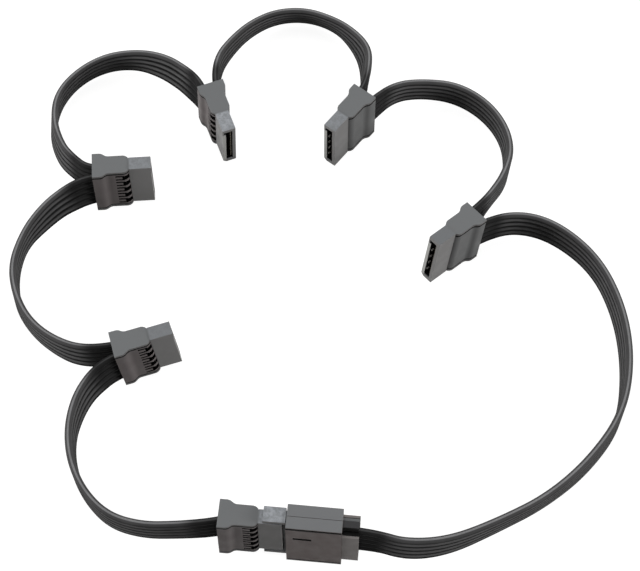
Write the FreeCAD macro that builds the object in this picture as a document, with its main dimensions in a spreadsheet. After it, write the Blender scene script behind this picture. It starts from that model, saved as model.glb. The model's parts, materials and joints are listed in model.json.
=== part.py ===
import FreeCAD, Part
import math
import os
import Sketcher
from types import SimpleNamespace

# A power splitter cable: one inlet and six equal outlets on a flat five-wire ribbon.
# It lies on a table in a closed loop, every connector on its narrow side, and the last outlet is
# plugged into the inlet. Millimetres, +Z up, origin on the table under the middle of the inlet's box,
# X along the inlet's axis towards its ribbon.
#
# Each connector is drawn in a frame of its own: X is the way an outlet's nose points, Z runs across
# the row of wires, and Y is the thickness. The side with the windows is at -Y.

Vector = FreeCAD.Vector
TABLE_NORMAL = Vector(0, 0, 1)

SIZES = {
    # Outlet: contact slot, which the pitch of the contacts drives, and the nose around it
    "pin_pitch": 1.27,
    "slot_margin": 1.11,
    "slot_gap": 2.5,
    "slot_depth": 7.4,
    "slot_foot": 0.65,
    "slot_foot_length": 1.7,
    "nose_length": 8.0,
    "nose_wall": 1.25,
    "nose_end_wall": 1.6,
    "key_cut": 1.2,
    # Outlet: moulded body
    "outlet_length": 21.2,
    "cheek_inset": 0.2,
    "cheek_wall": 0.9,
    "flare_length": 2.4,
    "swoop_length": 3.6,
    "taper_length": 2.2,
    "core_thickness": 3.4,
    "divider_thickness": 2.0,
    # Outlet: covers
    "flare_wall": 1.1,
    "waist_wall": 1.7,
    "tip_wall": 0.3,
    "fit_gap": 0.25,
    "cover_gap": 0.35,
    # Outlet: windows over the terminals
    "window_start": 8.2,
    "slit_length": 2.5,
    "slit_width": 0.8,
    "latch_width": 1.3,
    "throat_width": 2.4,
    "well_depth": 1.6,
    # Terminals
    "strip_thickness": 0.3,
    "strip_gap": 0.61,
    "strip_height": 0.45,
    "finger_width": 0.75,
    "finger_length": 6.2,
    "finger_bow": 0.15,
    "tab_length": 0.6,
    "tab_reach": 2.0,
    # Ribbon
    "ribbon_pitch": 2.6,
    "ribbon_thickness": 2.4,
    "ribbon_seat": 3.0,
    # Inlet: box, guard around the nose, and tongue
    "box_length": 18.4,
    "box_wall": 1.3,
    "box_margin": 0.6,
    "seam_gap": 0.15,
    "lip_height": 0.5,
    "groove_height": 0.8,
    "groove_depth": 0.7,
    "guard_length": 7.7,
    "guard_gap": 0.3,
    "guard_root": 0.9,
    "guard_wall": 1.5,
    "guard_back_wall": 0.4,
    "guard_lip": 2.3,
    "nose_play": 0.2,
    "nose_stop_gap": 0.4,
    "tongue_length": 6.0,
    "tongue_face": 0.1,
    "tongue_play": 0.15,
    "blade_width": 0.8,
    "blade_thickness": 0.12,
    # Inlet: tail and the slot in the near face
    "tail_length": 5.6,
    "tail_inset": 2.2,
    "tail_plate": 0.85,
    "tail_step": 3.0,
    "near_plate_drop": 1.4,
    "mouth_depth": 4.6,
    "face_slot_length": 6.0,
    "face_slot_width": 1.2,
    "face_slot_depth": 0.5,
    "face_slot_from_front": 2.4,
    "face_slot_height": 5.1,
}

WIRES = 5
PINS_PER_WIRE = 3
PINS = WIRES * PINS_PER_WIRE
CUT_MARGIN = 2.0
WELD = 0.5

# Where each outlet's back end stands on the table, the way its nose points, and how far the nose is tipped
# up, in degrees
OUTLET_PLACES = {
    1: (44.9, 123.7, -132.3, 7.5),
    2: (1.8, 172.4, -122.6, 0),
    3: (-55.7, 170.1, -64.0, -4.6),
    4: (-93.5, 130.3, 9.2, 0),
    5: (-74.9, 59.5, 20.7, 5.6),
}
MATED_OUTLET = 6

# How far the ribbon runs straight out of a connector before its first bend, and how far it runs on past
# its seat in an outlet before it is cut off square to the outlet
LEAD = 4.5
TRIM = 1.0

# The mated outlet stands higher than the others, so its ribbon lies this much lower in its room
MATED_DROP = 2.3

# Each ribbon's route between the two leads, chosen by hand, at the middle of its width
ROUTES = {
    "ribbon_inlet_to_1": [
        (31.4, -0.6, 11.5), (45.0, 2.9, 9.9), (60.6, 11.7, 8.3), (76.1, 22.5, 7.0), (90.2, 37.1, 6.6),
        (100.6, 55.6, 6.5), (103.0, 76.9, 6.5), (99.6, 97.6, 6.7), (90.2, 115.6, 7.6), (74.5, 126.7, 9.0),
        (60.3, 129.0, 10.0),
    ],
    "ribbon_1_to_2": [
        (51.3, 138.0, 10.0), (55.4, 147.4, 9.0), (57.0, 158.4, 8.0), (54.0, 169.8, 7.2), (46.4, 179.5, 7.0),
        (35.4, 185.4, 7.5), (23.1, 185.0, 8.9), (12.7, 181.3, 10.6),
    ],
    "ribbon_2_to_3": [
        (1.6, 187.2, 11.2), (0.6, 196.6, 10.0), (-4.3, 205.4, 8.5), (-12.8, 212.9, 7.3), (-24.3, 216.4, 7.0),
        (-36.1, 214.1, 7.6), (-45.6, 206.1, 9.3), (-51.8, 195.8, 11.5), (-55.3, 185.4, 13.1),
    ],
    "ribbon_3_to_4": [
        (-66.4, 180.0, 13.1), (-75.8, 185.6, 11.5), (-87.0, 188.2, 9.3), (-98.6, 186.1, 7.6),
        (-108.0, 178.3, 7.0), (-113.2, 166.8, 7.2), (-112.8, 153.9, 8.3), (-109.6, 142.6, 9.8),
        (-104.6, 135.0, 11.1),
    ],
    "ribbon_4_to_5": [
        (-104.4, 121.5, 11.2), (-110.2, 114.4, 10.1), (-115.8, 104.8, 8.6), (-117.7, 93.0, 7.3),
        (-114.7, 81.3, 6.9), (-108.1, 71.6, 7.2), (-99.0, 64.6, 8.2), (-88.6, 60.6, 9.7),
    ],
    "ribbon_5_to_6": [
        (-82.6, 48.8, 10.2), (-85.7, 40.4, 9.2), (-87.2, 29.9, 8.1), (-84.7, 18.7, 7.3), (-78.7, 8.5, 7.2),
        (-69.5, 0.9, 7.3), (-57.9, -0.9, 7.9), (-46.2, 0.4, 9.6),
    ],
}


class Size:
    """A number with the sheet expression that it comes from, so that both follow the same sums."""

    def __init__(self, value, text):
        self.value = value
        self.text = text

    def joined(self, other, sign, value):
        return Size(value, f"({self.text} {sign} {as_size(other).text})")

    def __add__(self, other):
        return self.joined(other, "+", self.value + as_size(other).value)

    def __sub__(self, other):
        return self.joined(other, "-", self.value - as_size(other).value)

    def __mul__(self, other):
        return self.joined(other, "*", self.value * as_size(other).value)

    def __truediv__(self, other):
        return self.joined(other, "/", self.value / as_size(other).value)

    def __neg__(self):
        return Size(-self.value, f"(0 - {self.text})")


def as_size(number):
    return number if isinstance(number, Size) else Size(float(number), f"{number}")


doc = FreeCAD.newDocument("power_splitter_cable")
sheet = doc.addObject("Spreadsheet::Sheet", "Sizes")
for row, (alias, number) in enumerate(SIZES.items(), start=1):
    sheet.set(f"A{row}", alias)
    sheet.set(f"B{row}", str(number))
    sheet.setAlias(f"B{row}", alias)
doc.recompute()
d = SimpleNamespace(**{alias: Size(float(sheet.get(alias)), f"Sizes.{alias}") for alias in SIZES})


# Sketch and feature helpers

def new_body(label, placement):
    body = doc.addObject("PartDesign::Body", label)
    body.Label = label
    body.Placement = placement
    return body


def origin_feature(body, role):
    return next(item for item in body.Origin.OriginFeatures if item.Role == role)


def new_sketch(body, plane, offset=0):
    """A sketch on one of the body's own planes, moved along that plane's normal by offset."""
    sketch = body.newObject("Sketcher::SketchObject", f"{body.Label}_sketch")
    sketch.AttachmentSupport = [(origin_feature(body, plane), "")]
    sketch.MapMode = "FlatFace"
    sketch.setExpression("AttachmentOffset.Base.z", as_size(offset).text)
    return sketch


def arc_middle(first, last, radius, turn):
    """The middle of the arc between two points that turns left (+1) or right (-1) on its way."""
    chord = last - first
    sagitta = radius - math.sqrt(radius ** 2 - (chord.Length / 2) ** 2)
    right = Vector(chord.y, -chord.x, 0).normalize()
    return (first + last) / 2 + right * sagitta * turn


def draw(sketch, corners):
    """Closes lines and arcs through corners (x, y); (x, y, radius, turn) starts an arc to the next corner."""
    corners = [tuple(as_size(value) for value in corner[:3]) + tuple(corner[3:]) for corner in corners]
    points = [Vector(corner[0].value, corner[1].value, 0) for corner in corners]
    edges = []
    for index, corner in enumerate(corners):
        first = points[index]
        last = points[(index + 1) % len(points)]
        if len(corner) == 4:
            curve = Part.Arc(first, arc_middle(first, last, corner[2].value, corner[3]), last)
            start_mark, end_mark = (1, 2) if corner[3] > 0 else (2, 1)
        else:
            curve = Part.LineSegment(first, last)
            start_mark, end_mark = 1, 2
        edges.append((sketch.addGeometry(curve, False), start_mark, end_mark))
    for index, corner in enumerate(corners):
        edge, start_mark, end_mark = edges[index]
        following, following_start, _ = edges[(index + 1) % len(edges)]
        sketch.addConstraint(Sketcher.Constraint("Coincident", edge, end_mark, following, following_start))
        for kind, value in (("DistanceX", corner[0]), ("DistanceY", corner[1])):
            number = sketch.addConstraint(Sketcher.Constraint(kind, -1, 1, edge, start_mark, value.value))
            sketch.setExpression(f"Constraints[{number}]", value.text)
        if len(corner) == 4:
            number = sketch.addConstraint(Sketcher.Constraint("Radius", edge, corner[2].value))
            sketch.setExpression(f"Constraints[{number}]", corner[2].text)
    return sketch


def box_corners(low, high):
    return [(low[0], low[1]), (high[0], low[1]), (high[0], high[1]), (low[0], high[1])]


def pad(body, sketch, length, symmetric=False, reverse=False):
    feature = body.newObject("PartDesign::Pad", f"{body.Label}_pad")
    feature.Profile = sketch
    feature.setExpression("Length", as_size(length).text)
    feature.SideType = "Symmetric" if symmetric else "One side"
    feature.Reversed = reverse
    doc.recompute()
    return feature


def pocket(body, sketch, length, symmetric=False, reverse=False):
    before = body.Shape.Volume
    feature = body.newObject("PartDesign::Pocket", f"{body.Label}_pocket")
    feature.Profile = sketch
    feature.setExpression("Length", as_size(length).text)
    feature.SideType = "Symmetric" if symmetric else "One side"
    feature.Reversed = reverse
    doc.recompute()
    if body.Shape.Volume >= before:
        raise RuntimeError(f"{feature.Name} cuts nothing")
    return feature


def repeat(body, pitch, count, originals=None):
    """Repeats features, or the whole body, count times along +Z."""
    feature = body.newObject("PartDesign::LinearPattern", f"{body.Label}_pattern")
    if originals:
        feature.Originals = originals
    else:
        feature.TransformMode = "Whole shape"
    feature.Direction = (origin_feature(body, "Z_Axis"), [""])
    feature.setExpression("Length", (pitch * (count - 1)).text)
    feature.Occurrences = count
    body.Tip = feature
    doc.recompute()
    return feature


# Places that several pieces share, in an outlet's own frame

wire_pitch = d.pin_pitch * PINS_PER_WIRE
slot_length = d.pin_pitch * (PINS - 1) + d.slot_margin * 2
nose_width = slot_length + d.nose_end_wall * 2
nose_thickness = d.slot_gap + d.nose_wall * 2
body_width = nose_width - d.cheek_inset * 2
strip_width = wire_pitch - d.strip_gap
ribbon_width = d.ribbon_pitch * WIRES
neck_x = d.outlet_length - d.nose_length
swoop_end = d.flare_length + d.swoop_length
swoop_middle = d.flare_length + d.swoop_length / 2
taper_start = neck_x - d.taper_length
core_half = d.core_thickness / 2
divider_half = d.divider_thickness / 2
flare_inner = divider_half + d.ribbon_thickness + d.fit_gap * 2
flare_half = flare_inner + d.flare_wall
waist_inner = core_half + d.fit_gap
waist_half = waist_inner + d.waist_wall
neck_half = waist_inner + d.tip_wall
swoop_drop = flare_half - waist_half
swoop_radius = (d.swoop_length * d.swoop_length + swoop_drop * swoop_drop) / (swoop_drop * 4)
taper_drop = waist_half - neck_half
taper_radius = (d.taper_length * d.taper_length + taper_drop * taper_drop) / (taper_drop * 2)
cheek_span = body_width - d.cheek_wall * 2
cover_width = cheek_span - d.cover_gap * 2
first_wire = wire_pitch * (-(WIRES - 1) / 2)
ribbon_offset = divider_half + d.fit_gap + d.ribbon_thickness / 2
slot_floor = d.outlet_length - d.slot_depth
window_half = d.latch_width / 2 + d.slit_width
tab_start = d.ribbon_seat + d.fit_gap
tab_room_end = tab_start + d.tab_length + d.fit_gap


def wavy_edge(side):
    """The outer line of the body from its back end to its neck, on the -Y (-1) or +Y (+1) side."""
    return [
        (0, flare_half * side),
        (d.flare_length, flare_half * side, swoop_radius, -side),
        (swoop_middle, (flare_half + waist_half) / 2 * side, swoop_radius, side),
        (swoop_end, waist_half * side),
        (taper_start, waist_half * side, taper_radius, -side),
        (neck_x, neck_half * side),
    ]


def turned_back(corners):
    """The same chain of corners walked the other way."""
    places = [corner[:2] for corner in corners][::-1]
    bends = [corner[2:] for corner in corners[:-1]][::-1] + [()]
    flipped = [(bend[0], -bend[1]) if bend else () for bend in bends]
    return [place + bend for place, bend in zip(places, flipped)]


def make_housing(label, placement):
    """Nose, core and the two wavy cheeks of an outlet, moulded as one piece."""
    body = new_body(label, placement)
    outline = wavy_edge(-1) + turned_back(wavy_edge(1))
    pad(body, draw(new_sketch(body, "XY_Plane"), outline), body_width, symmetric=True)

    nose_half = nose_thickness / 2
    nose_side = nose_width / 2
    nose_outline = [
        (d.key_cut - nose_half, -nose_side),
        (nose_half, -nose_side),
        (nose_half, nose_side),
        (-nose_half, nose_side),
        (-nose_half, d.key_cut - nose_side),
    ]
    pad(body, draw(new_sketch(body, "YZ_Plane", neck_x), nose_outline), d.nose_length)

    # Recesses for the covers, then the room for the two ribbon layers beside the divider
    for side in (-1, 1):
        recess = box_corners((0, core_half), (neck_x, flare_half + CUT_MARGIN))
        room = box_corners((0, divider_half), (d.ribbon_seat, core_half + CUT_MARGIN))
        for corners in (recess, room):
            mirrored = [(x, as_size(y) * side) for x, y in corners]
            pocket(body, draw(new_sketch(body, "XY_Plane"), mirrored), cheek_span, symmetric=True)

    pocket(body, draw(new_sketch(body, "YZ_Plane", d.outlet_length), slot_outline(0)), d.slot_depth)

    # A channel for each terminal's strip and tab, and a well under each window
    channel_low = d.strip_height - d.fit_gap
    channel_high = d.strip_height + d.strip_thickness + d.fit_gap
    channel = [
        (d.ribbon_seat, -core_half - CUT_MARGIN),
        (tab_room_end, -core_half - CUT_MARGIN),
        (tab_room_end, channel_low),
        (slot_floor + d.fit_gap, channel_low),
        (slot_floor + d.fit_gap, channel_high),
        (tab_room_end, channel_high),
        (tab_room_end, core_half + CUT_MARGIN),
        (d.ribbon_seat, core_half + CUT_MARGIN),
    ]
    channel_sketch = draw(new_sketch(body, "XY_Plane", first_wire), channel)
    cut = pocket(body, channel_sketch, strip_width + d.fit_gap, symmetric=True)
    repeat(body, wire_pitch, WIRES, [cut])

    well = box_corners((d.window_start, -core_half - CUT_MARGIN), (neck_x, d.well_depth - core_half))
    well_sketch = draw(new_sketch(body, "XY_Plane", first_wire), well)
    cut = pocket(body, well_sketch, d.throat_width, symmetric=True)
    repeat(body, wire_pitch, WIRES, [cut])
    return body


def slot_outline(play):
    """The L of the contact slot across an outlet's nose, made smaller all round by play."""
    half_gap = d.slot_gap / 2
    half_length = slot_length / 2
    return [
        (-half_gap + play, -half_length + play),
        (half_gap - play, -half_length + play),
        (half_gap - play, half_length - play),
        (-half_gap - d.slot_foot + play, half_length - play),
        (-half_gap - d.slot_foot + play, half_length - d.slot_foot_length + play),
        (-half_gap + play, half_length - d.slot_foot_length + play),
    ]


def make_cover(label, placement, side):
    """A wavy cover between the cheeks, on the -Y (-1) or +Y (+1) side; the -Y one has the windows."""
    body = new_body(label, placement)
    outer = wavy_edge(side)
    inner = [
        (neck_x, waist_inner * side),
        (swoop_end + d.waist_wall / 2, waist_inner * side),
        (tab_start, flare_inner * side),
        (0, flare_inner * side),
    ]
    pad(body, draw(new_sketch(body, "XY_Plane"), outer + inner), cover_width, symmetric=True)
    if side < 0:
        cut_windows(body)
    return body


def cut_windows(body):
    """Five windows: two slits beside a latch finger, which run into one throat on the taper."""
    slit_end = d.window_start + d.slit_length
    latch_half = d.latch_width / 2
    throat_half = d.throat_width / 2
    bridge_end = slit_end + d.slit_width
    outline = [
        (d.window_start, -window_half),
        (bridge_end, -window_half),
        (bridge_end, -throat_half),
        (neck_x + CUT_MARGIN, -throat_half),
        (neck_x + CUT_MARGIN, throat_half),
        (bridge_end, throat_half),
        (bridge_end, window_half),
        (d.window_start, window_half),
        (d.window_start, latch_half),
        (slit_end, latch_half),
        (slit_end, -latch_half),
        (d.window_start, -latch_half),
    ]
    corners = [(x, as_size(z) + first_wire) for x, z in outline]
    depth = flare_half + CUT_MARGIN
    cut = pocket(body, draw(new_sketch(body, "XZ_Plane"), corners), depth, reverse=True)
    repeat(body, wire_pitch, WIRES, [cut])


def make_terminals(label, placement):
    """Five sheet-metal terminals: a tab across the two wire layers, a strip and three spring fingers."""
    body = new_body(label, placement)
    low = d.strip_height
    high = d.strip_height + d.strip_thickness
    finger_start = slot_floor + d.fit_gap * 2
    finger_end = finger_start + d.finger_length
    bow_x = finger_start + d.finger_length * 0.6
    profile = [
        (tab_start, -d.tab_reach),
        (tab_start + d.tab_length, -d.tab_reach),
        (tab_start + d.tab_length, low),
        (finger_start, low),
        (bow_x, low - d.finger_bow),
        (finger_end, low + d.finger_bow),
        (finger_end, high + d.finger_bow),
        (bow_x, high - d.finger_bow),
        (finger_start, high),
        (tab_start + d.tab_length, high),
        (tab_start + d.tab_length, d.tab_reach),
        (tab_start, d.tab_reach),
    ]
    pad(body, draw(new_sketch(body, "XY_Plane", first_wire), profile), strip_width, symmetric=True)
    gap_half = (d.pin_pitch - d.finger_width) / 2
    for side in (-1, 1):
        middle = first_wire + d.pin_pitch / 2 * side
        gap = box_corners((finger_start, middle - gap_half), (finger_end + CUT_MARGIN, middle + gap_half))
        pocket(body, draw(new_sketch(body, "XZ_Plane"), gap), d.tab_reach * 2, symmetric=True)
    repeat(body, wire_pitch, WIRES)
    return body


# The inlet, in its own frame: X runs from its mating end to its ribbon, with 0 in the middle of the box

box_half = d.box_length / 2
root_face = -box_half - d.guard_root
guard_front = -box_half - d.guard_length
core_end = box_half - d.box_wall - d.fit_gap
tail_end = box_half + d.tail_length
guard_inner_half = nose_width / 2 + d.nose_play
guard_half = guard_inner_half + d.guard_wall
guard_inner_back = nose_thickness / 2 + d.nose_play
guard_back = guard_inner_back + d.guard_back_wall
inlet_core_y = guard_inner_back
inlet_core_z = guard_inner_half + d.box_margin
box_half_thickness = inlet_core_y + d.fit_gap + d.box_wall
box_half_width = inlet_core_z + d.fit_gap + d.box_wall
tail_half_width = inlet_core_z - d.tail_inset
mouth_y = d.ribbon_thickness / 2 + d.fit_gap
mouth_low = first_wire - mouth_y


def make_inlet_carrier(label, placement):
    """The inlet's inner moulding: guard around the nose, tongue, core and the tail that grips the ribbon."""
    body = new_body(label, placement)
    core = box_corners((-inlet_core_y, -inlet_core_z), (inlet_core_y, inlet_core_z))
    pad(body, draw(new_sketch(body, "YZ_Plane", -core_end), core), core_end * 2)

    # A collar through the box's front wall carries the guard, which stands just clear of that wall
    collar = box_corners((-d.guard_lip, -guard_inner_half), (guard_inner_back, guard_inner_half))
    collar_length = box_half + WELD - core_end + WELD
    pad(body, draw(new_sketch(body, "YZ_Plane", -box_half - WELD), collar), collar_length)
    guard = box_corners((-d.guard_lip, -guard_half), (guard_back, guard_half))
    guard_reach = d.guard_length - d.guard_gap
    pad(body, draw(new_sketch(body, "YZ_Plane", guard_front), guard), guard_reach)
    nose_room = box_corners(
        (-d.guard_lip - CUT_MARGIN, -guard_inner_half),
        (guard_inner_back, guard_inner_half),
    )
    room_depth = d.guard_length - d.guard_root
    pocket(body, draw(new_sketch(body, "YZ_Plane", guard_front), nose_room), room_depth, reverse=True)

    tongue = slot_outline(d.tongue_play)
    tongue[1] = (d.tongue_face, tongue[1][1])
    tongue[2] = (d.tongue_face, tongue[2][1])
    tongue_sketch = draw(new_sketch(body, "YZ_Plane", root_face + WELD), tongue)
    pad(body, tongue_sketch, d.tongue_length + WELD, reverse=True)

    tail = box_corners((-inlet_core_y, -tail_half_width), (inlet_core_y, tail_half_width))
    pad(body, draw(new_sketch(body, "YZ_Plane", core_end - WELD), tail), tail_end - core_end + WELD)
    step_low = tail_half_width - d.tail_step
    step = box_corners(
        (-inlet_core_y - CUT_MARGIN, step_low),
        (mouth_y, tail_half_width + CUT_MARGIN),
    )
    pocket(body, draw(new_sketch(body, "YZ_Plane", tail_end), step), d.tail_length)

    # The mouth leaves room for the wires to spread to the contacts' pitch, and opens into the step
    mouth = box_corners((-mouth_y, mouth_low), (mouth_y, step_low + CUT_MARGIN))
    pocket(body, draw(new_sketch(body, "YZ_Plane", tail_end), mouth), d.mouth_depth)
    return body


def make_inlet_shell(label, placement, side):
    """One half of the inlet's box, on the -Y (-1) or +Y (+1) side of the seam."""
    body = new_body(label, placement)
    near = side < 0
    seam = d.seam_gap / 2 * side
    outer = box_half_thickness * side
    inner = outer - d.box_wall * side
    walls = shell_corners(outer, seam, -box_half_width, box_half_width)
    pad(body, draw(new_sketch(body, "YZ_Plane", -box_half), walls), d.box_length)

    beyond_seam = CUT_MARGIN * -side
    room_half = box_half_width - d.box_wall
    room = shell_corners(inner, beyond_seam, -room_half, room_half)
    room_length = d.box_length - d.box_wall * 2
    pocket(body, draw(new_sketch(body, "YZ_Plane"), room), room_length, symmetric=True)

    collar_edge = -d.guard_lip - d.fit_gap if near else guard_inner_back + d.fit_gap
    collar_half = guard_inner_half + d.fit_gap
    collar = shell_corners(collar_edge, beyond_seam, -collar_half, collar_half)
    pocket(body, draw(new_sketch(body, "YZ_Plane", -box_half), collar), d.box_wall, reverse=True)
    tail_edge = (inlet_core_y + d.fit_gap) * side
    opening_half = tail_half_width + d.fit_gap
    opening = shell_corners(tail_edge, beyond_seam, -opening_half, opening_half)
    pocket(body, draw(new_sketch(body, "YZ_Plane", box_half), opening), d.box_wall)

    # A plate that carries the wide face on along the tail; the near one is lower
    plate_top = tail_half_width - d.near_plate_drop if near else tail_half_width
    plate = shell_corners(tail_edge + d.tail_plate * side, tail_edge, -tail_half_width, plate_top)
    pad(body, draw(new_sketch(body, "YZ_Plane", box_half - WELD), plate), d.tail_length + WELD)

    # A groove under each lip of the wide face
    groove_high = box_half_width - d.lip_height
    groove_low = groove_high - d.groove_height
    for low, high in ((groove_low, groove_high), (-groove_high, -groove_low)):
        groove = box_corners((-box_half - CUT_MARGIN, low), (box_half, high))
        pocket(body, draw(new_sketch(body, "XZ_Plane", -outer), groove), d.groove_depth, reverse=not near)
    if near:
        slot_x = d.face_slot_from_front - box_half
        slot_low = d.face_slot_height - d.face_slot_width / 2
        slot_high = d.face_slot_height + d.face_slot_width / 2
        slot = box_corners((slot_x, slot_low), (slot_x + d.face_slot_length, slot_high))
        pocket(body, draw(new_sketch(body, "XZ_Plane", -outer), slot), d.face_slot_depth)
    return body


def shell_corners(one_y, other_y, low_z, high_z):
    """A rectangle across the box between two places in Y, given in either order."""
    first, last = sorted((as_size(one_y), as_size(other_y)), key=lambda size: size.value)
    return box_corners((first, low_z), (last, high_z))


def make_inlet_blades(label, placement):
    """Fifteen contact blades that lie on the tongue."""
    body = new_body(label, placement)
    first_pin = d.pin_pitch * (-(PINS - 1) / 2)
    half = d.blade_width / 2
    tip = root_face - d.tongue_length + d.fit_gap
    blade = box_corners((tip, first_pin - half), (root_face, first_pin + half))
    sketch = draw(new_sketch(body, "XZ_Plane", -d.tongue_face), blade)
    pad(body, sketch, d.blade_thickness, reverse=True)
    repeat(body, d.pin_pitch, PINS)
    return body


# Where the connectors stand

def standing(x, y, height, heading, tip=0):
    """A connector on its narrow side, turned to its heading and with its nose tipped up."""
    turn = FreeCAD.Rotation(TABLE_NORMAL, heading).multiply(FreeCAD.Rotation(Vector(0, 1, 0), -tip))
    return FreeCAD.Placement(Vector(x, y, height), turn)


def back_height(tip):
    """How high the middle of an outlet's back end is when the outlet rests on its lowest edge."""
    level = math.cos(math.radians(tip))
    slope = math.sin(math.radians(tip))
    edges = [(as_size(0), body_width), (neck_x, nose_width), (d.outlet_length, nose_width)]
    return max(width.value / 2 * level - x.value * slope for x, width in edges)


inlet_place = standing(0, 0, box_half_width.value, 0)
outlet_places = {
    number: standing(x, y, back_height(tip), heading, tip)
    for number, (x, y, heading, tip) in OUTLET_PLACES.items()
}
mated_back = root_face - d.nose_stop_gap - d.outlet_length
outlet_places[MATED_OUTLET] = standing(mated_back.value, 0, box_half_width.value, 0)


# Ribbons: an upright flat section carried along straight runs joined by tangent arcs

def outlet_lead(number, side):
    """The two end points of a ribbon in an outlet: past its seat, and straight out behind it."""
    place = outlet_places[number]
    offset = ribbon_offset.value * side
    drop = MATED_DROP if number == MATED_OUTLET else 0
    return [place.multVec(Vector(x, offset, -drop)) for x in (d.ribbon_seat.value + TRIM, -LEAD)]


def inlet_lead():
    seat = (tail_end - d.mouth_depth).value
    return [inlet_place.multVec(Vector(x, 0, 0)) for x in (seat, tail_end.value + LEAD)]


def past_seat(number):
    """The space in an outlet past the seat of its ribbons."""
    reach = ribbon_width.value
    space = Part.makeBox(reach, reach * 2, reach * 2, Vector(d.ribbon_seat.value, -reach, -reach))
    space.Placement = outlet_places[number].multiply(space.Placement)
    return space


def rounded_path(points, label):
    """Straight runs with an arc at each corner, as large as the shorter of the two runs allows."""
    edges = []
    radii = []
    start = points[0]
    for before, corner, after in zip(points, points[1:], points[2:]):
        back = before - corner
        ahead = after - corner
        half_turn = (math.pi - back.getAngle(ahead)) / 2
        cut = 0.45 * min(back.Length, ahead.Length)
        radius = cut / math.tan(half_turn)
        radii.append(radius)
        back.normalize()
        ahead.normalize()
        first = corner + back * cut
        last = corner + ahead * cut
        inward = (back + ahead).normalize()
        middle = corner + inward * (radius / math.cos(half_turn) - radius)
        edges.append(Part.LineSegment(start, first).toShape())
        edges.append(Part.Arc(first, middle, last).toShape())
        start = last
    edges.append(Part.LineSegment(start, points[-1]).toShape())
    path = Part.Wire(edges)
    print(label, "radii", [round(radius, 1) for radius in radii])
    return path


def make_ribbon(label, points, outlets):
    path = rounded_path(points, label)
    along = points[1] - points[0]
    across = TABLE_NORMAL.cross(along).normalize() * (d.ribbon_thickness.value / 2)
    upward = TABLE_NORMAL * (ribbon_width.value / 2)
    start = points[0]
    section = Part.makePolygon([
        start - across - upward,
        start + across - upward,
        start + across + upward,
        start - across + upward,
        start - across - upward,
    ])
    sweep = Part.BRepOffsetAPI.MakePipeShell(path)
    sweep.setBiNormalMode(TABLE_NORMAL)
    sweep.setTransitionMode(1)
    sweep.add(section)
    sweep.build()
    sweep.makeSolid()
    ribbon = doc.addObject("Part::Feature", label)
    ribbon.Label = label
    ribbon.Shape = sweep.shape().cut([past_seat(number) for number in outlets]).Solids[0]
    length = path.Length - TRIM * len(outlets)
    expected = ribbon_width.value * d.ribbon_thickness.value * length
    print(label, "length", round(length, 1), "volume over section times length",
          round(ribbon.Shape.Volume / expected, 4))
    return ribbon


# The whole cable

pieces = []
for number, place in sorted(outlet_places.items()):
    name = f"outlet_{number}"
    pieces.append(make_housing(f"{name}_housing", place))
    pieces.append(make_cover(f"{name}_window_cover", place, -1))
    pieces.append(make_cover(f"{name}_plain_cover", place, 1))
    pieces.append(make_terminals(f"{name}_terminals", place))
pieces.append(make_inlet_carrier("inlet_carrier", inlet_place))
pieces.append(make_inlet_shell("inlet_near_shell", inlet_place, -1))
pieces.append(make_inlet_shell("inlet_far_shell", inlet_place, 1))
pieces.append(make_inlet_blades("inlet_blades", inlet_place))

# Towards the inlet a ribbon leaves an outlet on its plain side, towards the last outlet on its window side
starts = {"inlet": inlet_lead()}
starts.update({str(number): outlet_lead(number, -1) for number in outlet_places})
for label, route in ROUTES.items():
    _, start, _, end = label.split("_")
    lead_in = starts[start]
    lead_out = outlet_lead(int(end), 1)[::-1]
    outlets = [int(name) for name in (start, end) if name != "inlet"]
    pieces.append(make_ribbon(label, lead_in + [Vector(*point) for point in route] + lead_out, outlets))

doc.recompute()
for item in doc.Objects:
    if "Invalid" in item.State or "Error" in item.State:
        raise RuntimeError(f"{item.Label} failed: {item.State}")
for piece in pieces:
    if piece.Shape.isNull() or not piece.Shape.isValid():
        raise RuntimeError(f"{piece.Label} has no valid shape")

os.makedirs("parts", exist_ok=True)
for piece in pieces:
    piece.Shape.exportStep(os.path.join("parts", f"{piece.Label}.step"))
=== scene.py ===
import json
import math

import bpy
from mathutils import Matrix, Vector


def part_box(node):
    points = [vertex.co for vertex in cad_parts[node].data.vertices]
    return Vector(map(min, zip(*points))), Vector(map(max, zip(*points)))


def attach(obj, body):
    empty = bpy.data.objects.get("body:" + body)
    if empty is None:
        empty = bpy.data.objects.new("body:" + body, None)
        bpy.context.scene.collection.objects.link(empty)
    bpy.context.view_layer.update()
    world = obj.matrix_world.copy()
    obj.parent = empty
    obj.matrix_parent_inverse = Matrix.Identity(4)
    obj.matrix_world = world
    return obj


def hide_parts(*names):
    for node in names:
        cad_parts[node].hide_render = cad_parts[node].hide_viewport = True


# Looks of a flat-ribbon power splitter cable: five-wire ribbons swept along smooth splines, and the
# packed connectors with moulded plastic and plated metal. Metres, +Z up, as in the frame.

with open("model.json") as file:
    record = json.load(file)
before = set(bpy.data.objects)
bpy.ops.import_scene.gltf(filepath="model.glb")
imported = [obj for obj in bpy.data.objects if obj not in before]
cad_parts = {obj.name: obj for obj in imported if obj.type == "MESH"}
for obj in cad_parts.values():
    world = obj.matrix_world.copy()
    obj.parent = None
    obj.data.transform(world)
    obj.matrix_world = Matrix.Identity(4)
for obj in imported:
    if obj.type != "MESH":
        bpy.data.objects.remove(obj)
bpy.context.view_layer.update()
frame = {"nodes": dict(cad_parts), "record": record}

MM = 0.001
UP = Vector((0, 0, 1))
OUTLETS = range(1, 7)

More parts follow.
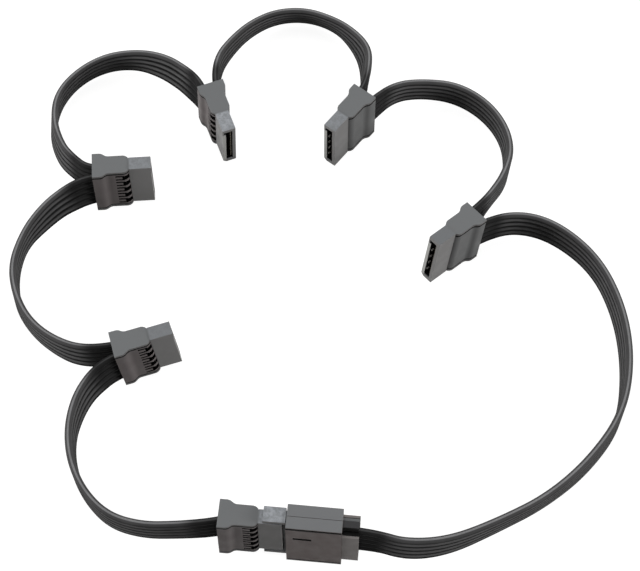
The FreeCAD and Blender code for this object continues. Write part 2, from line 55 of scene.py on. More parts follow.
# Photograph: width and focal length in pixels, where the camera stood and the floor point it faces
IMAGE_WIDTH = 640
FOCAL_PIXELS = 2000
SENSOR_WIDTH = 36
CAMERA_PLACE = Vector((0.0256, -0.2478, 0.6326))
CAMERA_TARGET = Vector((-0.00805, 0.1017, 0.0))

# Outlets, in their own frame: X is the way the nose points, from 0 at the back end. A ribbon ends at its
# seat and runs straight out to the lead, to one side of the axis; the outlet in the inlet has its ribbon
# lower and nearer the axis
OUTLET_LENGTH = 21.2 * MM
NECK_X = 13.2 * MM
SEAT_X = 3.0 * MM
LEAD_X = -2.0 * MM
RIBBON_OFFSET = 2.45 * MM
MATED_OUTLET = 6
MATED_DROP = 3.3 * MM
MATED_LEAD_OFFSET = 0.6 * MM

# Contact tips in an outlet's slot, in its own frame: one for each wire but the last, on the wall at the
# window side
TIPS = 4
TIP_PITCH = 3.81 * MM
TIP_LOW = Vector((19.3, -1.25, -0.45)) * MM
TIP_HIGH = Vector((20.2, -0.95, 0.45)) * MM

# Colours of the mouldings: the tone of the sides and the tone of the tops. They are lit and shaded copies of
# one
# plastic: the tops are painted paler as painted light, the sides darker as painted shade, and the warm tint
# of some sides is painted warm light
PLASTICS = {
    "housing": ((0.125, 0.120, 0.119), (0.150, 0.155, 0.158)),
    "window_cover": ((0.116, 0.103, 0.102), (0.150, 0.155, 0.158)),
    "plain_cover": ((0.115, 0.116, 0.116), (0.150, 0.155, 0.158)),
    "shell": ((0.130, 0.111, 0.107), (0.160, 0.164, 0.168)),
    # The lid's near-black tones are painted shade: the lid lies in the shade of the tail's walls
    "lid": ((0.020, 0.020, 0.020), (0.052, 0.052, 0.054)),
}
# The nose's tones for its sides and its top: again lit and shaded copies of one plastic, as painted light
# and shade
NOSE_TONES = ((0.185, 0.182, 0.180), (0.152, 0.158, 0.164))
# The tone of the haze and painted sheen on the tops of the noses
HAZE_AND_SHEEN_TONE = (0.32, 0.335, 0.355)
PAINTED_SHADE_TONE = (0.004, 0.004, 0.004)

# Finish of the mouldings: the normal's Z over which a side's darker painted tone turns into the paler
# painted tone of a top, the stretch of X over which the neck turns into the nose, the noise over which haze
# and painted sheen grow and their least share, and how far a window's wall may face outwards before it
# counts as the cover's face rather than a wall painted black as painted shade
PLASTIC_ROUGHNESS = (0.42, 0.58)
PLASTIC_SPECULAR = 0.05
TOP_RANGE = (0.4, 0.9)
NOSE_BLEND = (-0.4 * MM, 0.6 * MM)
HAZE_AND_SHEEN_RANGE = (0.35, 0.65)
HAZE_AND_SHEEN_LEAST = 0.35
WALL_RANGE = (0.3, 0.5)

# Contact metals: colour and how metallic. The contacts' metal is darkened as painted shade inside the
# housings, and their tips are a pale copy of it as a painted highlight
PAINTED_SHADE_METAL = ((0.10, 0.09, 0.07), 1)
PAINTED_HIGHLIGHT_TIP_METAL = ((0.8, 0.79, 0.74), 0.2)
METAL_ROUGHNESS = (0.3, 0.45)

# Noise: features in a metre, and the middle of its range, which is stretched over the range of a value
GRAIN_SCALE = 5200
BLOTCH_SCALE = 260
CLOUD_SCALE = 520
PATCH_SCALE = 140
SKIN_SCALE = 2600
WIPE_SCALE = 900
NOISE_MIDDLE = (0.3, 0.7)

# Bumps: strength and depth
GRAIN_BUMP = (0.25, 0.05 * MM)
SKIN_BUMP = (0.12, 0.04 * MM)

# Sockets of Blender's mix node that hold colours: the two that go in and the one that comes out
MIX_FIRST = 6
MIX_SECOND = 7
MIX_RESULT = 2

# The ribbon's jacket: its clean tones, its finish and how its painted highlights vary from patch to patch
JACKET_BASE = ((0.005, 0.005, 0.005), (0.009, 0.009, 0.009))
JACKET_ROUGHNESS = (0.42, 0.52)
JACKET_SPECULAR = 0.015
HIGHLIGHT_PATCH_RANGE = (0.25, 0.75)
HIGHLIGHT_PATCH_LEAST = 0.8

# Painted light tones of the ribbon's lower wires, by how high a place is on its wire from -1 to 1, and of
# its top wire, by the normal's Z: painted highlights on the ridges and on the top wire's upper side and
# crest, and painted shade in the dark band near the top of each lower wire. Between the two values the
# jacket goes from the tone before to this one
JACKET_LIGHT_TONES = {
    "lower": [((0.2, 0.6), (0.115, 0.114, 0.115)), ((0.82, 0.96), (0.010, 0.010, 0.010))],
    "top": [((-0.1, 0.5), (0.066, 0.065, 0.066)), ((0.92, 0.98), (0.205, 0.205, 0.209))],
}

# How much haze and painted sheen the top of each nose has, from clean at 0, and the top of the inlet's
# guard:
# partly scuffed haze, partly a painted highlight set nose by nose to how brightly each is lit
HAZE_AND_SHEEN = {1: 0.0, 2: 0.5, 3: 1.0, 4: 0.45, 5: 0.2, 6: 0.7}
GUARD_HAZE_AND_SHEEN = 1.0

# Boxes painted black as painted shade, in millimetres of each connector's own frame: an outlet's core and
# slot, the seams along its covers, the inlet's tail and its room for the nose, the inside of its shells with
# their seam and slot, and a groove in the lid
HOUSING_SHADE_BOXES = [
    ((-0.1, -1.75, -10.45), (13.15, 1.75, 10.45)),
    ((13.0, -1.3, -10.05), (20.9, 1.3, 10.05)),
    ((13.0, -1.95, 8.25), (20.9, 1.3, 10.05)),
]
COVER_SHADE_BOXES = [
    ((-0.1, -6.0, 9.7), (13.3, 6.0, 10.3)),
    ((-0.1, -6.0, -10.3), (13.3, 6.0, -9.7)),
]
CARRIER_SHADE_BOXES = [
    ((-15.0, -1.4, -10.3), (-9.0, 2.75, 10.3)),
    ((9.0, -2.65, -11.75), (17.5, 2.65, 11.75)),
]
SHELL_SHADE_BOXES = [
    ((-8.9, -4.1, -13.5), (8.9, 4.1, 13.5)),
    ((-9.4, 3.9, 12.2), (9.4, 4.4, 13.45)),
    ((0.7, 3.6, 4.4), (6.9, 4.4, 5.8)),
]
LID_SHADE_BOXES = [((-15.0, 1.05, 7.9), (-9.0, 2.8, 8.7))]

# Boxes that look paler, in millimetres, with their tones: the rim of an outlet's slot and the inlet's tail
SLOT_RIM = ((21.1, -2.6, -10.2), (21.4, -1.2, 8.3), (0.38, 0.38, 0.365))
TAIL_PLATE = ((-15.0, -6.0, -14.0), (-9.3, 6.0, 14.0), (0.205, 0.190, 0.184))

# The part of a window cover where the walls of its windows are painted black as painted shade, in
# millimetres
WINDOW_SHADE_ZONE = ((8.0, -6.0, -9.7), (13.3, 6.0, 9.7))

# The stepped lid that closes the inlet's tail over the ribbon: its ends in X, and its outline of Y and Z,
# in millimetres
LID_ENDS = (9.25 * MM, 14.7 * MM)
LID_OUTLINE = [(-2.6, 22.0), (1.4, 22.0), (1.4, 25.0), (-1.0, 25.0), (-1.0, 22.4), (-2.6, 22.4)]

# Inlet: where its ribbon ends inside the tail, and where the straight lead out of it ends
INLET_SEAT_X = 10.2 * MM
INLET_LEAD_X = 19.3 * MM

# Rounded edges of the mouldings
OUTLET_EDGE = 0.15 * MM
INLET_EDGE = 0.2 * MM
EDGE_SEGMENTS = 2
EDGE_ANGLE = math.radians(40)

# Ribbon section: five wires side by side, joined by thin webs
WIRES = 5
WIRE_PITCH = 2.6 * MM
WIRE_HALF_THICKNESS = 1.2 * MM
WIRE_HALF_HEIGHT = 1.3 * MM
WEB_HALF_THICKNESS = 0.3 * MM
ARC_STEPS = 8
PATH_STEPS = 14
PATH_ORDER = 3
RIBBON_ENDS = 2

# At a connector the wires spread towards the pitch of its contacts, and close up again on the way out. Over
# this range of the spread, the jacket's painted highlights fall to a share of themselves, as painted shade
# near the connectors. The names are of values that the mesh holds at its vertices
SPREAD_PITCH = {"inlet": 3.3 * MM, "window": 3.7 * MM, "plain": 3.0 * MM, "mated": 2.7 * MM}
SPREAD_HOLD = 3.0 * MM
SPREAD_LENGTH = 16.0 * MM
SPREAD_WEB_HALF_THICKNESS = 0.12 * MM
SPREAD_RANGE = (0, 0.6)
SPREAD_SHADE = 0.22
SPREAD_NAME = "spread"
HEIGHT_NAME = "height"

# Floor, world and lights: where each light stands, its width and its power in watts
FLOOR_HALF = 3.0
FLOOR_TONE = (0.25, 0.247, 0.243, 1)
FLOOR_ROUGHNESS = 0.9
FLOOR_GLOW = 0.92
WHITE = (1, 1, 1, 1)
SKY_STRENGTH = 0.2
LIGHT_TARGET = Vector((0, 0.1, 0))
LIGHTS = {
    "overhead": ((-0.1, 0.35, 1.1), 0.6, 3.8),
    "left_fill": ((-0.9, -0.1, 0.3), 0.5, 7.5),
    "back_fill": ((0.1, 1.1, 0.35), 0.5, 5),
    "right_fill": ((0.9, -0.1, 0.3), 0.5, 7),
}

# Corners of the faces of a block whose corners run through X, then Y, then Z
BLOCK_FACES = [(0, 1, 3, 2), (4, 6, 7, 5), (0, 4, 5, 1), (2, 3, 7, 6), (0, 2, 6, 4), (1, 5, 7, 3)]

# Each ribbon's route between its two leads, at the middle of its width, with the degrees that its upper
# edge tips to the left of the way it runs
ROUTES = {
    "ribbon_inlet_to_1": [
        (0.0313, -0.0014, 0.0113, 6), (0.0452, 0.0022, 0.0098, 1), (0.0606, 0.0116, 0.0083, -5),
        (0.0762, 0.0224, 0.0070, -6), (0.0902, 0.0371, 0.0066, -1), (0.1009, 0.0555, 0.0065, 0),
        (0.1028, 0.0769, 0.0065, -7), (0.0993, 0.0975, 0.0067, -5), (0.0903, 0.1157, 0.0076, -1),
        (0.0747, 0.1273, 0.0090, -4), (0.0603, 0.1295, 0.0100, -4),
    ],
    "ribbon_1_to_2": [
        (0.0508, 0.1384, 0.0100, -6), (0.0554, 0.1474, 0.0090, -1), (0.0570, 0.1584, 0.0080, -5),
        (0.0540, 0.1698, 0.0072, -2), (0.0464, 0.1795, 0.0070, -1), (0.0354, 0.1854, 0.0075, 1),
        (0.0231, 0.1851, 0.0089, 6), (0.0126, 0.1815, 0.0106, 4),
    ],
    "ribbon_2_to_3": [
        (0.0014, 0.1872, 0.0112, -9), (0.0002, 0.1966, 0.0100, -14), (-0.0050, 0.2052, 0.0085, 0),
        (-0.0129, 0.2128, 0.0073, 16), (-0.0243, 0.2166, 0.0070, 18), (-0.0361, 0.2141, 0.0076, 17),
        (-0.0453, 0.2058, 0.0093, 12), (-0.0513, 0.1953, 0.0113, 6), (-0.0550, 0.1853, 0.0128, 0),
    ],
    "ribbon_3_to_4": [
        (-0.0671, 0.1790, 0.0121, -15), (-0.0760, 0.1848, 0.0108, -9), (-0.0870, 0.1878, 0.0092, 6),
        (-0.0986, 0.1861, 0.0076, 10), (-0.1082, 0.1785, 0.0070, 10), (-0.1138, 0.1671, 0.0072, 5),
        (-0.1132, 0.1541, 0.0083, 8), (-0.1083, 0.1430, 0.0098, 10), (-0.1027, 0.1369, 0.0111, 7),
    ],
    "ribbon_4_to_5": [
        (-0.1042, 0.1213, 0.0108, -13), (-0.1104, 0.1142, 0.0098, -8), (-0.1160, 0.1049, 0.0086, 4),
        (-0.1178, 0.0930, 0.0073, -1), (-0.1147, 0.0813, 0.0069, 1), (-0.1080, 0.0717, 0.0072, -3),
        (-0.0990, 0.0647, 0.0082, -1), (-0.0887, 0.0603, 0.0097, 5),
    ],
    "ribbon_5_to_6": [
        (-0.0828, 0.0490, 0.0100, -13), (-0.0863, 0.0405, 0.0091, -9), (-0.0874, 0.0299, 0.0081, -3),
        (-0.0847, 0.0188, 0.0073, -2), (-0.0784, 0.0087, 0.0072, -4), (-0.0694, 0.0011, 0.0073, -3),
        (-0.0579, -0.0015, 0.0079, -3), (-0.0461, -0.0008, 0.0090, -2),
    ],
}


# Where the connectors stand, from the frame

def outlet_frame(number):
    """The matrix that carries an outlet's own frame to the row's."""
    mounts = {mount["name"]: mount for mount in frame["record"]["mounts"]}
    mount = mounts.get(f"outlet_{number}_socket")
    if mount:
        front = Vector(mount["pos_m"])
        heading = math.atan2(mount["axis"][1], mount["axis"][0])
        tip = math.asin(mount["axis"][2])
    else:
        low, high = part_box(f"outlet_{number}_housing")
        front = Vector((high[0], (low[1] + high[1]) / 2, (low[2] + high[2]) / 2))
        heading = tip = 0
    turn = Matrix.Rotation(heading, 4, "Z") @ Matrix.Rotation(-tip, 4, "Y")
    return Matrix.Translation(front) @ turn @ Matrix.Translation((-OUTLET_LENGTH, 0, 0))


def inlet_axis_height():
    """The height of the inlet's axis over the floor."""
    low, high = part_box("inlet_near_shell")
    return (low[2] + high[2]) / 2


# Materials

def new_material(name):
    material = bpy.data.materials.new(name)
    material.use_nodes = True
    nodes = material.node_tree.nodes
    return material, nodes, material.node_tree.links, nodes["Principled BSDF"]


def own_coordinates(nodes, links, matrix):
    """Texture coordinates in a connector's own frame, in metres."""
    coordinates = nodes.new("ShaderNodeTexCoord")
    mapping = nodes.new("ShaderNodeMapping")
    mapping.vector_type = "TEXTURE"
    mapping.inputs["Location"].default_value = matrix.to_translation()
    mapping.inputs["Rotation"].default_value = matrix.to_euler()
    links.new(coordinates.outputs["Object"], mapping.inputs["Vector"])
    return mapping.outputs["Vector"]


def noise(nodes, links, vector, per_metre, detail=3, roughness=0.5):
    texture = nodes.new("ShaderNodeTexNoise")
    texture.inputs["Scale"].default_value = per_metre
    texture.inputs["Detail"].default_value = detail
    texture.inputs["Roughness"].default_value = roughness
    links.new(vector, texture.inputs["Vector"])
    return texture.outputs["Fac"]


def remap(nodes, links, value, source, target):
    ramp = nodes.new("ShaderNodeMapRange")
    ramp.interpolation_type = "SMOOTHSTEP"
    ramp.inputs["From Min"].default_value, ramp.inputs["From Max"].default_value = source
    ramp.inputs["To Min"].default_value, ramp.inputs["To Max"].default_value = target
    links.new(value, ramp.inputs["Value"])
    return ramp.outputs["Result"]


def mix_colors(nodes, links, factor, first, second):
    mix = nodes.new("ShaderNodeMix")
    mix.data_type = "RGBA"
    links.new(factor, mix.inputs["Factor"])
    for socket, color in ((mix.inputs[MIX_FIRST], first), (mix.inputs[MIX_SECOND], second)):
        if isinstance(color, tuple):
            socket.default_value = (*color, 1)
        else:
            links.new(color, socket)
    return mix.outputs[MIX_RESULT]


def multiply(nodes, links, first, second):
    product = nodes.new("ShaderNodeMath")
    product.operation = "MULTIPLY"
    links.new(first, product.inputs[0])
    links.new(second, product.inputs[1])
    return product.outputs["Value"]


def facing_up(nodes, links):
    """How far the surface faces up: the Z of its normal."""
    surface = nodes.new("ShaderNodeNewGeometry")
    axes = nodes.new("ShaderNodeSeparateXYZ")
    links.new(surface.outputs["Normal"], axes.inputs["Vector"])
    return axes.outputs["Z"]


def attribute(nodes, name):
    """A value that the mesh holds at each of its vertices."""
    reader = nodes.new("ShaderNodeAttribute")
    reader.attribute_name = name
    return reader.outputs["Fac"]


def add_bump(nodes, links, shader, height, strength, distance):
    bump = nodes.new("ShaderNodeBump")
    bump.inputs["Strength"].default_value = strength
    bump.inputs["Distance"].default_value = distance
    links.new(height, bump.inputs["Height"])
    links.new(bump.outputs["Normal"], shader.inputs["Normal"])


def within(nodes, links, place, low, high):
    """1 inside the box between two corners of a connector's own frame, and 0 outside it."""
    axes = nodes.new("ShaderNodeSeparateXYZ")
    links.new(place, axes.inputs["Vector"])
    sides = []
    for axis, first, last in zip("XYZ", low, high):
        near = nodes.new("ShaderNodeMath")
        near.operation = "COMPARE"
        links.new(axes.outputs[axis], near.inputs[0])
        near.inputs[1].default_value = (first + last) / 2 * MM
        near.inputs[2].default_value = (last - first) / 2 * MM
        sides.append(near.outputs["Value"])
    return multiply(nodes, links, multiply(nodes, links, sides[0], sides[1]), sides[2])


def wall_beside(nodes, links, direction):
    """1 on the surfaces that run along this direction, and 0 on those that face it."""
    surface = nodes.new("ShaderNodeNewGeometry")
    share = nodes.new("ShaderNodeVectorMath")
    share.operation = "DOT_PRODUCT"
    links.new(surface.outputs["Normal"], share.inputs[0])
    share.inputs[1].default_value = direction
    size = nodes.new("ShaderNodeMath")
    size.operation = "ABSOLUTE"
    links.new(share.outputs["Value"], size.inputs[0])
    return remap(nodes, links, size.outputs["Value"], WALL_RANGE, (1, 0))


def moulded_plastic(name, kind, matrix, shade_boxes, nose_x=None, haze_and_sheen=0.0, pale=None, window_shade=None):
    """Satin plastic with a fine grain, painted paler on its tops and darker on its sides as painted light
    and shade, and black in its shaded boxes as painted shade.

    Beyond nose_x it has the nose's tones, with this much scuffed, hazy look and painted sheen on the top.
    The pale box has a tone of its own, and in the zone of the window openings the walls are painted black as
    painted shade.
    """
    material, nodes, links, shader = new_material(name)
    place = own_coordinates(nodes, links, matrix)
    grain = noise(nodes, links, place, GRAIN_SCALE, 2)
    blotches = noise(nodes, links, place, BLOTCH_SCALE, 4)
    # Painted light and shade: the tops take the paler tone of each pair, the sides the darker one
    upward = remap(nodes, links, facing_up(nodes, links), TOP_RANGE, (0, 1))
    color = mix_colors(nodes, links, upward, *PLASTICS[kind])
    if nose_x is not None:
        axes = nodes.new("ShaderNodeSeparateXYZ")
        links.new(place, axes.inputs["Vector"])
        stretch = [nose_x + step for step in NOSE_BLEND]
        on_nose = remap(nodes, links, axes.outputs["X"], stretch, (0, 1))
        nose = mix_colors(nodes, links, upward, *NOSE_TONES)
        # Haze and painted sheen on the nose's top: partly scuffs, partly a painted highlight
        clouds = noise(nodes, links, place, CLOUD_SCALE, 6, 0.7)
        haze_and_sheen_share = remap(nodes, links, clouds, HAZE_AND_SHEEN_RANGE, (HAZE_AND_SHEEN_LEAST * haze_and_sheen, haze_and_sheen))
        nose = mix_colors(nodes, links, multiply(nodes, links, haze_and_sheen_share, upward), nose, HAZE_AND_SHEEN_TONE)
        color = mix_colors(nodes, links, on_nose, color, nose)
    if pale:
        low, high, tone = pale
        color = mix_colors(nodes, links, within(nodes, links, place, low, high), color, tone)
    # Painted shade: black inside each of the shaded boxes
    for low, high in shade_boxes:
        color = mix_colors(nodes, links, within(nodes, links, place, low, high), color, PAINTED_SHADE_TONE)
    # Painted shade: the walls of the window openings are black
    if window_shade:
        wall = wall_beside(nodes, links, matrix.col[1].to_3d())
        window_shade_mask = multiply(nodes, links, wall, within(nodes, links, place, *window_shade))
        color = mix_colors(nodes, links, window_shade_mask, color, PAINTED_SHADE_TONE)
    links.new(color, shader.inputs["Base Color"])
    roughness = remap(nodes, links, blotches, NOISE_MIDDLE, PLASTIC_ROUGHNESS)
    links.new(roughness, shader.inputs["Roughness"])
    shader.inputs["Specular IOR Level"].default_value = PLASTIC_SPECULAR
    add_bump(nodes, links, shader, grain, *GRAIN_BUMP)
    return material


def ribbon_jacket(name, wire):
    """Soft black jacket with a fine skin: painted grey highlights on its ridges with painted shade beside
    them, fainter as painted shade where its wires spread near a connector.
    """
    material, nodes, links, shader = new_material(name)
    coordinates = nodes.new("ShaderNodeTexCoord")
    place = coordinates.outputs["Object"]
    patches = noise(nodes, links, place, PATCH_SCALE, 4)
    skin = noise(nodes, links, place, SKIN_SCALE, 3)
    color = mix_colors(nodes, links, remap(nodes, links, patches, NOISE_MIDDLE, (0, 1)), *JACKET_BASE)
    # Painted highlights on the ridges, patchy from place to place
    patchy_highlight = remap(nodes, links, patches, HIGHLIGHT_PATCH_RANGE, (HIGHLIGHT_PATCH_LEAST, 1))
    # Painted shade: the ridge highlights dim where the wires spread near a connector
    spread_dimming = remap(nodes, links, attribute(nodes, SPREAD_NAME), SPREAD_RANGE, (1, SPREAD_SHADE))
    highlight_share = multiply(nodes, links, patchy_highlight, spread_dimming)
    # Painted highlight and painted shade tones, by height on each wire
    level = facing_up(nodes, links) if wire == "top" else attribute(nodes, HEIGHT_NAME)
    for source, tone in JACKET_LIGHT_TONES[wire]:
        painted_share = multiply(nodes, links, remap(nodes, links, level, source, (0, 1)), highlight_share)
        color = mix_colors(nodes, links, painted_share, color, tone)
    links.new(color, shader.inputs["Base Color"])
    links.new(remap(nodes, links, skin, NOISE_MIDDLE, JACKET_ROUGHNESS), shader.inputs["Roughness"])
    shader.inputs["Specular IOR Level"].default_value = JACKET_SPECULAR
    add_bump(nodes, links, shader, skin, *SKIN_BUMP)
    return material


def contact_metal(name, color, metallic):
    """Plated contact metal with fine wipes."""
    material, nodes, links, shader = new_material(name)
    coordinates = nodes.new("ShaderNodeTexCoord")
    wipes = noise(nodes, links, coordinates.outputs["Object"], WIPE_SCALE, 3)
    shader.inputs["Base Color"].default_value = (*color, 1)
    shader.inputs["Metallic"].default_value = metallic
    links.new(remap(nodes, links, wipes, NOISE_MIDDLE, METAL_ROUGHNESS), shader.inputs["Roughness"])
    return material


# Connectors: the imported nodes, with rounded edges and their materials

def dress(node, material, edge):
    """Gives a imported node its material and, where an edge is given, edges rounded by that much."""
    piece = frame["nodes"][node]
    piece.data.materials.clear()
    piece.data.materials.append(material)
    if edge:
        bevel = piece.modifiers.new("edge", "BEVEL")
        bevel.width = edge
        bevel.segments = EDGE_SEGMENTS
        bevel.limit_method = "ANGLE"
        bevel.angle_limit = EDGE_ANGLE
        bevel.harden_normals = True


def add_piece(name, vertices, faces, material):
    """A mesh of this scene's own that belongs to the object."""
    mesh = bpy.data.meshes.new(name)
    mesh.from_pydata(vertices, [], faces)
    mesh.materials.append(material)
    piece = bpy.data.objects.new(name, mesh)
    bpy.context.scene.collection.objects.link(piece)
    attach(piece, "root")


def make_tips(number, matrix, material):
    """Small blocks in an outlet's slot: the tips of its contacts, pale as a painted highlight where they
    catch the light.
    """
    vertices = []
    faces = []
    for wire in range(TIPS):
        up = (wire - (WIRES - 1) / 2) * TIP_PITCH
        first = len(vertices)
        for x in (TIP_LOW.x, TIP_HIGH.x):
            for y in (TIP_LOW.y, TIP_HIGH.y):
                vertices += [matrix @ Vector((x, y, up + z)) for z in (TIP_LOW.z, TIP_HIGH.z)]
        faces += [[first + corner for corner in face] for face in BLOCK_FACES]
    add_piece(f"outlet_{number}_tips", vertices, faces, material)


def make_lid(material):
    """A stepped block that closes the top of the inlet's tail over the ribbon."""
    count = len(LID_OUTLINE)
    vertices = [(x, y * MM, z * MM) for x in LID_ENDS for y, z in LID_OUTLINE]
    faces = [tuple(range(count))[::-1], tuple(range(count, 2 * count))]
    for corner in range(count):
        following = (corner + 1) % count
        faces.append((corner, following, count + following, count + corner))
    add_piece("tail_lid", vertices, faces, material)


# Painted shade on the contacts, painted highlight on their tips
painted_shade_metal = contact_metal("contact_painted_shade", *PAINTED_SHADE_METAL)
painted_highlight_tip_metal = contact_metal("contact_tip_painted_highlight", *PAINTED_HIGHLIGHT_TIP_METAL)
for number in OUTLETS:
    matrix = outlet_frame(number)
    label = f"outlet_{number}"
    housing = moulded_plastic(f"{label}_housing", "housing", matrix, HOUSING_SHADE_BOXES,
                              nose_x=NECK_X, haze_and_sheen=HAZE_AND_SHEEN[number], pale=SLOT_RIM)
    window_cover = moulded_plastic(f"{label}_window", "window_cover", matrix, COVER_SHADE_BOXES,
                                   window_shade=WINDOW_SHADE_ZONE)
    plain_cover = moulded_plastic(f"{label}_plain", "plain_cover", matrix, COVER_SHADE_BOXES)
    dress(f"{label}_housing", housing, OUTLET_EDGE)
    dress(f"{label}_window_cover", window_cover, OUTLET_EDGE)
    dress(f"{label}_plain_cover", plain_cover, OUTLET_EDGE)
    dress(f"{label}_terminals", painted_shade_metal, 0)
    make_tips(number, matrix, painted_highlight_tip_metal)

inlet_matrix = Matrix.Translation((0, 0, inlet_axis_height())) @ Matrix.Rotation(math.pi, 4, "Z")
inlet_front = -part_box("inlet_near_shell")[0][0]
shell = moulded_plastic("inlet_shell", "shell", inlet_matrix, SHELL_SHADE_BOXES, pale=TAIL_PLATE)
carrier = moulded_plastic("inlet_carrier", "housing", inlet_matrix, CARRIER_SHADE_BOXES,
                          nose_x=inlet_front, haze_and_sheen=GUARD_HAZE_AND_SHEEN)
dress("inlet_carrier", carrier, INLET_EDGE)
dress("inlet_near_shell", shell, INLET_EDGE)
dress("inlet_far_shell", shell, INLET_EDGE)
dress("inlet_blades", painted_shade_metal, 0)
# The lid's dark tones are painted shade
make_lid(moulded_plastic("tail_lid", "lid", inlet_matrix, LID_SHADE_BOXES))


# Ribbons

def spline_points(name, controls):
    """Points along the smooth spline that these control points draw."""
    curve = bpy.data.curves.new(name, "CURVE")
    curve.dimensions = "3D"
    curve.resolution_u = PATH_STEPS
    spline = curve.splines.new("NURBS")
    spline.points.add(len(controls) - 1)
    for point, control in zip(spline.points, controls):
        point.co = (*control, 1)
    spline.order_u = PATH_ORDER
    spline.use_endpoint_u = True
    holder = bpy.data.objects.new(name, curve)
    line = bpy.data.meshes.new_from_object(holder)
    points = [vertex.co.copy() for vertex in line.vertices]
    bpy.data.objects.remove(holder)
    bpy.data.curves.remove(curve)
    bpy.data.meshes.remove(line)
    return points


def ribbon_section(pitch, web):
    """The outline of five joined wires, counter-clockwise from the lower right.

    Each point is (across, up, height on its wire).
    """
    groove = math.acos(web / WIRE_HALF_THICKNESS)
    right = []
    for wire in range(WIRES):
        middle = (wire - (WIRES - 1) / 2) * pitch
        first = -math.pi / 2 if wire == 0 else -groove
        last = math.pi / 2 if wire == WIRES - 1 else groove
        for step in range(ARC_STEPS + 1):
            angle = first + (last - first) * step / ARC_STEPS
            across = WIRE_HALF_THICKNESS * math.cos(angle)
            height = math.sin(angle)
            right.append((across, middle + WIRE_HALF_HEIGHT * height, height))
    left = [(-across, up, height) for across, up, height in reversed(right[1:-1])]
    return right + left


def spread_at(distance):
    """How far the wires have spread at this distance from their end, from 1 there to 0 on the free run."""
    share = min(max((distance - SPREAD_HOLD) / SPREAD_LENGTH, 0), 1)
    return 1 - share * share * (3 - 2 * share)


def ribbon_rings(path, leans, pitches):
    """The ribbon's vertices, ring after ring along its path, with how far each is spread and its height."""
    run = [0]
    for before, after in zip(path, path[1:]):
        run.append(run[-1] + (after - before).length)
    vertices = []
    spreads = []
    heights = []
    for index, point in enumerate(path):
        along = (path[min(index + 1, len(path) - 1)] - path[max(index - 1, 0)]).normalized()
        left = UP.cross(along).normalized()
        lean = math.radians(leans[index])
        top = along.cross(left) * math.cos(lean) + left * math.sin(lean)
        side = along.cross(top)
        first, last = spread_at(run[index]), spread_at(run[-1] - run[index])
        pitch = WIRE_PITCH + first * (pitches[0] - WIRE_PITCH) + last * (pitches[1] - WIRE_PITCH)
        web = WEB_HALF_THICKNESS + (first + last) * (SPREAD_WEB_HALF_THICKNESS - WEB_HALF_THICKNESS)
        section = ribbon_section(pitch, web)
        vertices += [point + side * across + top * up for across, up, _ in section]
        heights += [height for _, _, height in section]
        spreads += [first + last] * len(section)
    return vertices, spreads, heights


def ribbon_faces(rings, count):
    """The faces between rings of this many vertices, and after them the two flat ends."""
    faces = []
    for ring in range(rings - 1):
        first = ring * count
        second = first + count
        for corner in range(count):
            following = (corner + 1) % count
            faces.append((first + corner, first + following, second + following, second + corner))
    faces.append(tuple(range(count))[::-1])
    faces.append(tuple(range((rings - 1) * count, rings * count)))
    return faces


def make_ribbon(name, controls, leans, pitches, materials):
    """A ribbon along the spline of its controls. The last material is for its top wire."""
    path = spline_points(name, controls)
    lean_line = spline_points(name, [(lean, 0, 0) for lean in leans])
    vertices, spreads, heights = ribbon_rings(path, [point.x for point in lean_line], pitches)
    count = len(vertices) // len(path)
    faces = ribbon_faces(len(path), count)
    mesh = bpy.data.meshes.new(name)
    mesh.from_pydata(vertices, [], faces)
    mesh.polygons.foreach_set("use_smooth", [True] * (len(faces) - RIBBON_ENDS) + [False] * RIBBON_ENDS)
    mesh.attributes.new(SPREAD_NAME, "FLOAT", "POINT").data.foreach_set("value", spreads)
    mesh.attributes.new(HEIGHT_NAME, "FLOAT", "POINT").data.foreach_set("value", heights)
    for material in materials:
        mesh.materials.append(material)
    first_on_top = (WIRES - 1) * (ARC_STEPS + 1)
    top_wire = range(first_on_top, first_on_top + 2 * ARC_STEPS)
    for polygon in mesh.polygons[:-RIBBON_ENDS]:
        if polygon.index % count in top_wire:
            polygon.material_index = len(materials) - 1
    mesh.update()
    ribbon = bpy.data.objects.new(f"{name}_jacket", mesh)
    bpy.context.scene.collection.objects.link(ribbon)
    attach(ribbon, "root")
    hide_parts(name)


def outlet_ends(number, side):
    """A ribbon's two end points in an outlet: in its seat, and straight out behind it."""
    matrix = outlet_frame(number)
    mated = number == MATED_OUTLET
    drop = MATED_DROP if mated else 0
    lead_offset = MATED_LEAD_OFFSET if mated else RIBBON_OFFSET
    places = [(SEAT_X, RIBBON_OFFSET * side, -drop), (LEAD_X, lead_offset * side, -drop)]
    return [matrix @ Vector(place) for place in places]


jackets = [ribbon_jacket("ribbon_jacket", "lower"), ribbon_jacket("ribbon_top_wire", "top")]
for name, route in ROUTES.items():
    _, start, _, end = name.split("_")
    if start == "inlet":
        lead_in = [Vector((x, 0, inlet_axis_height())) for x in (INLET_SEAT_X, INLET_LEAD_X)]
        first_pitch = SPREAD_PITCH["inlet"]
    else:
        lead_in = outlet_ends(int(start), -1)
        first_pitch = SPREAD_PITCH["window"]
    lead_out = outlet_ends(int(end), 1)[::-1]
    last_pitch = SPREAD_PITCH["mated" if int(end) == MATED_OUTLET else "plain"]
    controls = lead_in + [Vector(point[:3]) for point in route] + lead_out
    leans = [0, 0] + [point[3] for point in route] + [0, 0]
    make_ribbon(name, controls, leans, (first_pitch, last_pitch), jackets)


# Floor, light and camera

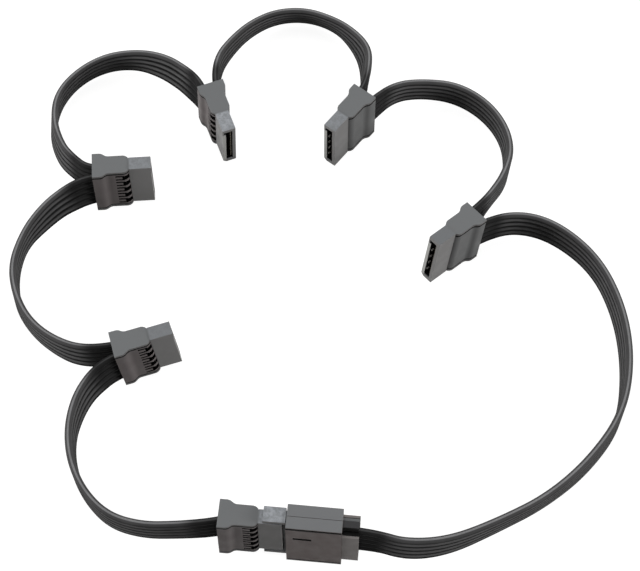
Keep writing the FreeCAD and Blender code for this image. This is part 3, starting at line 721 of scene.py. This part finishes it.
def seen_directly(nodes, links):
    """1 for the rays that show a background, straight, mirrored or through glass, and 0 for the others."""
    rays = nodes.new("ShaderNodeLightPath")
    total = rays.outputs["Is Camera Ray"]
    for kind in ("Is Glossy Ray", "Is Transmission Ray"):
        either = nodes.new("ShaderNodeMath")
        either.operation = "MAXIMUM"
        links.new(total, either.inputs[0])
        links.new(rays.outputs[kind], either.inputs[1])
        total = either.outputs["Value"]
    return total


def white_floor(name):
    """White where it is seen, with a soft shadow; a grey surface to every other ray."""
    material, nodes, links, shader = new_material(name)
    shader.inputs["Base Color"].default_value = FLOOR_TONE
    shader.inputs["Roughness"].default_value = FLOOR_ROUGHNESS
    shader.inputs["Specular IOR Level"].default_value = 0
    glow = nodes.new("ShaderNodeEmission")
    glow.inputs["Strength"].default_value = FLOOR_GLOW
    seen = nodes.new("ShaderNodeAddShader")
    links.new(shader.outputs["BSDF"], seen.inputs[0])
    links.new(glow.outputs["Emission"], seen.inputs[1])
    choice = nodes.new("ShaderNodeMixShader")
    links.new(seen_directly(nodes, links), choice.inputs["Fac"])
    links.new(shader.outputs["BSDF"], choice.inputs[1])
    links.new(seen.outputs["Shader"], choice.inputs[2])
    links.new(choice.outputs["Shader"], nodes["Material Output"].inputs["Surface"])
    return material


floor_mesh = bpy.data.meshes.new("floor")
floor_mesh.from_pydata(
    [(-FLOOR_HALF, -FLOOR_HALF, 0), (FLOOR_HALF, -FLOOR_HALF, 0), (FLOOR_HALF, FLOOR_HALF, 0),
     (-FLOOR_HALF, FLOOR_HALF, 0)], [], [(0, 1, 2, 3)])
floor_mesh.materials.append(white_floor("floor"))
floor = bpy.data.objects.new("floor", floor_mesh)
bpy.context.scene.collection.objects.link(floor)

world = bpy.data.worlds.new("studio")
bpy.context.scene.world = world
world.use_nodes = True
sky_nodes = world.node_tree.nodes
sky_links = world.node_tree.links
sky = sky_nodes["Background"]
sky.inputs["Color"].default_value = WHITE
sky.inputs["Strength"].default_value = SKY_STRENGTH
backdrop = sky_nodes.new("ShaderNodeBackground")
backdrop.inputs["Color"].default_value = WHITE
backdrop.inputs["Strength"].default_value = 1
choice = sky_nodes.new("ShaderNodeMixShader")
sky_links.new(seen_directly(sky_nodes, sky_links), choice.inputs["Fac"])
sky_links.new(sky.outputs["Background"], choice.inputs[1])
sky_links.new(backdrop.outputs["Background"], choice.inputs[2])
sky_links.new(choice.outputs["Shader"], sky_nodes["World Output"].inputs["Surface"])


def area_light(name, place, size, power):
    """A round light that shines at the middle of the loop."""
    data = bpy.data.lights.new(name, "AREA")
    data.shape = "DISK"
    data.size = size
    data.energy = power
    lamp = bpy.data.objects.new(name, data)
    lamp.location = place
    lamp.rotation_euler = (LIGHT_TARGET - place).to_track_quat("-Z", "Y").to_euler()
    bpy.context.scene.collection.objects.link(lamp)


for name, (place, size, power) in LIGHTS.items():
    area_light(name, Vector(place), size, power)

camera_data = bpy.data.cameras.new("camera")
camera_data.sensor_fit = "HORIZONTAL"
camera_data.sensor_width = SENSOR_WIDTH
camera_data.lens = FOCAL_PIXELS * SENSOR_WIDTH / IMAGE_WIDTH
camera = bpy.data.objects.new("camera", camera_data)
camera.location = CAMERA_PLACE
camera.rotation_euler = (CAMERA_TARGET - CAMERA_PLACE).to_track_quat("-Z", "Y").to_euler()
bpy.context.scene.collection.objects.link(camera)
bpy.context.scene.camera = camera
bpy.context.scene.view_settings.view_transform = "Standard"
